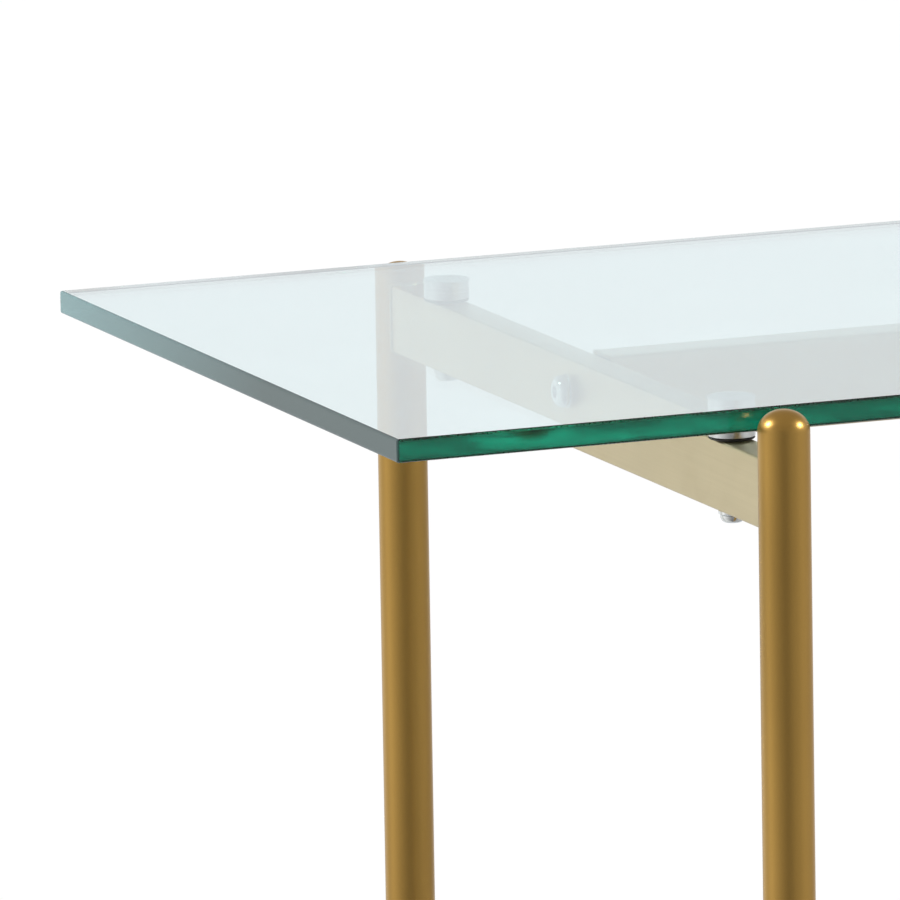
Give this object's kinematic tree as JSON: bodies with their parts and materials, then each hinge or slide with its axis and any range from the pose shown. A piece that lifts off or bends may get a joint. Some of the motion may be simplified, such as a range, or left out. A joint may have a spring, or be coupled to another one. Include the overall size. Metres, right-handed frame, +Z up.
{
  "type": "glass-topped dressing table",
  "caption": "Dressing or console table: clear glass top with green edge, bonded to pucks on a bolted frame of gold round legs, crossbars and centre rail, with levelling feet.",
  "frame": {"origin": "on the floor, under the middle of the glass top", "axes": "+X along the long side, to the right seen from the front; +Y to the back; +Z up"},
  "size_m": [1, 0.455, 0.7515],
  "materials": {
    "glass": "clear float glass, green in the edge, polished edge with arrises",
    "leg_gold": "satin antique gold metallic coat",
    "bar_gold": "pale champagne gold, satin",
    "end_plate_steel": "dark, plain",
    "puck_steel": "turned face, polished side",
    "zinc": "bright zinc plate",
    "rubber": "matt black",
    "nylon": "black moulded nylon"
  },
  "bodies": {
    "frame": {"glass_top": "glass", "centre_rail": "bar_gold", "crossbar_left": "bar_gold", "rail_end_plate_left": "end_plate_steel", "spring_washer_left": "zinc", "rail_bolt_left": "zinc", "crossbar_right": "bar_gold", "rail_end_plate_right": "end_plate_steel", "spring_washer_right": "zinc", "rail_bolt_right": "zinc", "leg_front_left": "leg_gold", "leg_cap_front_left": "leg_gold", "glass_puck_front_left": "puck_steel", "rubber_washer_front_left": "rubber", "screw_washer_front_left": "zinc", "puck_screw_front_left": "zinc", "leg_insert_front_left": "nylon", "leg_rear_left": "leg_gold", "leg_cap_rear_left": "leg_gold", "glass_puck_rear_left": "puck_steel", "rubber_washer_rear_left": "rubber", "screw_washer_rear_left": "zinc", "puck_screw_rear_left": "zinc", "leg_insert_rear_left": "nylon", "leg_front_right": "leg_gold", "leg_cap_front_right": "leg_gold", "glass_puck_front_right": "puck_steel", "rubber_washer_front_right": "rubber", "screw_washer_front_right": "zinc", "puck_screw_front_right": "zinc", "leg_insert_front_right": "nylon", "leg_rear_right": "leg_gold", "leg_cap_rear_right": "leg_gold", "glass_puck_rear_right": "puck_steel", "rubber_washer_rear_right": "rubber", "screw_washer_rear_right": "zinc", "puck_screw_rear_right": "zinc", "leg_insert_rear_right": "nylon"},
    "pad_front_left": {"foot_pad_front_left": "nylon"},
    "stem_front_left": {"foot_stem_front_left": "zinc"},
    "pad_rear_left": {"foot_pad_rear_left": "nylon"},
    "stem_rear_left": {"foot_stem_rear_left": "zinc"},
    "pad_front_right": {"foot_pad_front_right": "nylon"},
    "stem_front_right": {"foot_stem_front_right": "zinc"},
    "pad_rear_right": {"foot_pad_rear_right": "nylon"},
    "stem_rear_right": {"foot_stem_rear_right": "zinc"}
  },
  "joints": [
    {"name": "foot_travel_front_left", "type": "slide", "parent": "frame", "child": "pad_front_left", "axis": [0, 0, -1], "range_m": [0, 0.008]},
    {"name": "foot_turn_front_left", "type": "hinge", "parent": "pad_front_left", "child": "stem_front_left", "pos_m": [-0.334, -0.2155, 0.007], "axis": [0, 0, -1], "range_deg": [0, 2304]},
    {"name": "foot_travel_rear_left", "type": "slide", "parent": "frame", "child": "pad_rear_left", "axis": [0, 0, -1], "range_m": [0, 0.008]},
    {"name": "foot_turn_rear_left", "type": "hinge", "parent": "pad_rear_left", "child": "stem_rear_left", "pos_m": [-0.334, 0.2155, 0.007], "axis": [0, 0, -1], "range_deg": [0, 2304]},
    {"name": "foot_travel_front_right", "type": "slide", "parent": "frame", "child": "pad_front_right", "axis": [0, 0, -1], "range_m": [0, 0.008]},
    {"name": "foot_turn_front_right", "type": "hinge", "parent": "pad_front_right", "child": "stem_front_right", "pos_m": [0.334, -0.2155, 0.007], "axis": [0, 0, -1], "range_deg": [0, 2304]},
    {"name": "foot_travel_rear_right", "type": "slide", "parent": "frame", "child": "pad_rear_right", "axis": [0, 0, -1], "range_m": [0, 0.008]},
    {"name": "foot_turn_rear_right", "type": "hinge", "parent": "pad_rear_right", "child": "stem_rear_right", "pos_m": [0.334, 0.2155, 0.007], "axis": [0, 0, -1], "range_deg": [0, 2304]}
  ],
  "couplings": [
    {"joint": "foot_turn_front_left", "follows": "foot_travel_front_left", "rad_per_m": 5026.5},
    {"joint": "foot_turn_rear_left", "follows": "foot_travel_rear_left", "rad_per_m": 5026.5},
    {"joint": "foot_turn_front_right", "follows": "foot_travel_front_right", "rad_per_m": 5026.5},
    {"joint": "foot_turn_rear_right", "follows": "foot_travel_rear_right", "rad_per_m": 5026.5}
  ]
}
